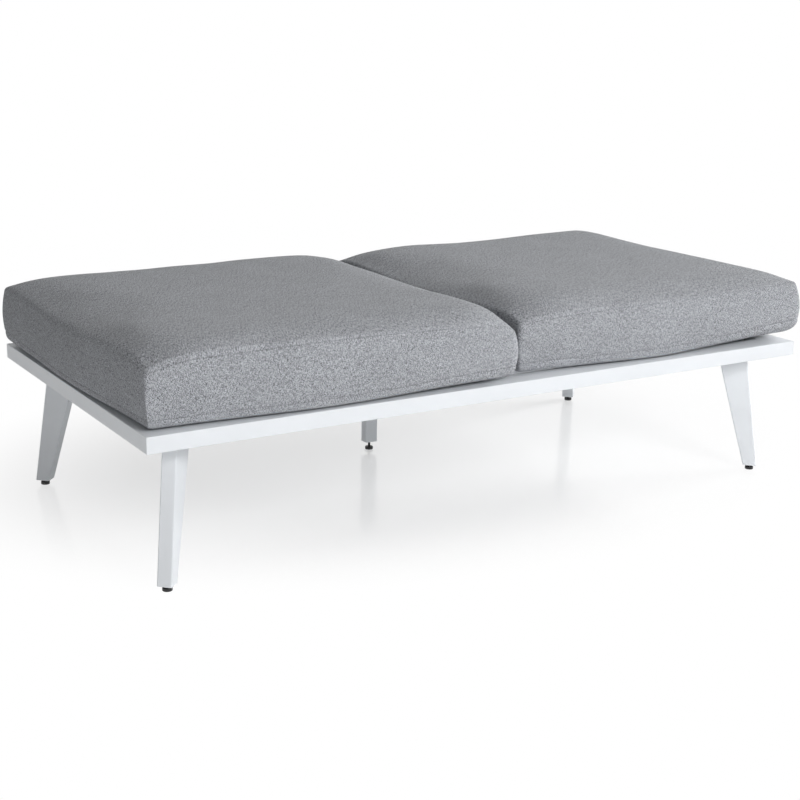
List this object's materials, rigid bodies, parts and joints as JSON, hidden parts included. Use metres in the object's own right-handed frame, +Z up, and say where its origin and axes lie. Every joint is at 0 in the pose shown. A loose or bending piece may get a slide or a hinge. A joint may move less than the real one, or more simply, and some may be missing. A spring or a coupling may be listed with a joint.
{
  "type": "modular garden sofa",
  "caption": "Backless two-seat garden sofa module with a flat white metal frame on splayed tapered legs, levelling feet and loose box seat cushions.",
  "frame": {"origin": "on the floor, under the middle of the frame", "axes": "+X to the right along the length, -Y towards the front, +Z up"},
  "size_m": [1.63, 0.8131, 0.4703],
  "materials": {
    "frame_paint": "satin",
    "fastener_steel": "satin",
    "plug_nylon": "matte",
    "foot_black": "matte",
    "cushion_fabric": "matte",
    "wadding": "matte",
    "foam": "matte",
    "zip_grey": "matte",
    "zip_slider_metal": "satin"
  },
  "bodies": {
    "frame": {"front_rail": "frame_paint", "rear_rail": "frame_paint", "left_rail": "frame_paint", "right_rail": "frame_paint", "centre_beam": "frame_paint", "support_leg": "frame_paint", "support_plate": "frame_paint", "slat_1": "frame_paint", "slat_2": "frame_paint", "slat_3": "frame_paint", "slat_4": "frame_paint", "slat_5": "frame_paint", "slat_6": "frame_paint", "slat_7": "frame_paint", "slat_8": "frame_paint", "corner_bracket_front_left": "frame_paint", "corner_bracket_front_right": "frame_paint", "corner_bracket_rear_left": "frame_paint", "corner_bracket_rear_right": "frame_paint", "leg_plate_front_left": "frame_paint", "leg_plate_front_right": "frame_paint", "leg_plate_rear_left": "frame_paint", "leg_plate_rear_right": "frame_paint", "leg_front_left": "frame_paint", "leg_front_right": "frame_paint", "leg_rear_left": "frame_paint", "leg_rear_right": "frame_paint", "leg_bolts": "fastener_steel", "leg_nuts": "fastener_steel", "support_bolts": "fastener_steel", "support_nuts": "fastener_steel", "leg_plug_front_left": "plug_nylon", "leg_plug_front_right": "plug_nylon", "leg_plug_rear_left": "plug_nylon", "leg_plug_rear_right": "plug_nylon", "support_plug": "plug_nylon"},
    "foot_front_left": {"foot_pad_front_left": "foot_black", "foot_stud_front_left": "fastener_steel"},
    "foot_front_right": {"foot_pad_front_right": "foot_black", "foot_stud_front_right": "fastener_steel"},
    "foot_rear_left": {"foot_pad_rear_left": "foot_black", "foot_stud_rear_left": "fastener_steel"},
    "foot_rear_right": {"foot_pad_rear_right": "foot_black", "foot_stud_rear_right": "fastener_steel"},
    "foot_middle": {"foot_pad_middle": "foot_black", "foot_stud_middle": "fastener_steel"},
    "cushion_left": {"cushion_cover_left": "cushion_fabric", "cushion_wadding_left": "wadding", "cushion_foam_left": "foam", "zip_left": "zip_grey"},
    "zip_slider_left": {"zip_slider_left": "zip_slider_metal"},
    "cushion_right": {"cushion_cover_right": "cushion_fabric", "cushion_wadding_right": "wadding", "cushion_foam_right": "foam", "zip_right": "zip_grey"},
    "zip_slider_right": {"zip_slider_right": "zip_slider_metal"}
  },
  "joints": [
    {"name": "foot_front_left_height", "type": "slide", "parent": "frame", "child": "foot_front_left", "axis": [0, 0, -1], "range_m": [-0.0045, 0.01]},
    {"name": "foot_front_right_height", "type": "slide", "parent": "frame", "child": "foot_front_right", "axis": [0, 0, -1], "range_m": [-0.0045, 0.01]},
    {"name": "foot_rear_left_height", "type": "slide", "parent": "frame", "child": "foot_rear_left", "axis": [0, 0, -1], "range_m": [-0.0045, 0.01]},
    {"name": "foot_rear_right_height", "type": "slide", "parent": "frame", "child": "foot_rear_right", "axis": [0, 0, -1], "range_m": [-0.0045, 0.01]},
    {"name": "foot_middle_height", "type": "slide", "parent": "frame", "child": "foot_middle", "axis": [0, 0, -1], "range_m": [-0.013, 0.006]},
    {"name": "cushion_left_lift", "type": "slide", "parent": "frame", "child": "cushion_left", "axis": [0, 0, 1], "range_m": [0, 0.3]},
    {"name": "cushion_right_lift", "type": "slide", "parent": "frame", "child": "cushion_right", "axis": [0, 0, 1], "range_m": [0, 0.3]},
    {"name": "zip_left_open", "type": "slide", "parent": "cushion_left", "child": "zip_slider_left", "axis": [1, 0, 0], "range_m": [0, 0.6]},
    {"name": "zip_right_open", "type": "slide", "parent": "cushion_right", "child": "zip_slider_right", "axis": [1, 0, 0], "range_m": [0, 0.6]}
  ]
}
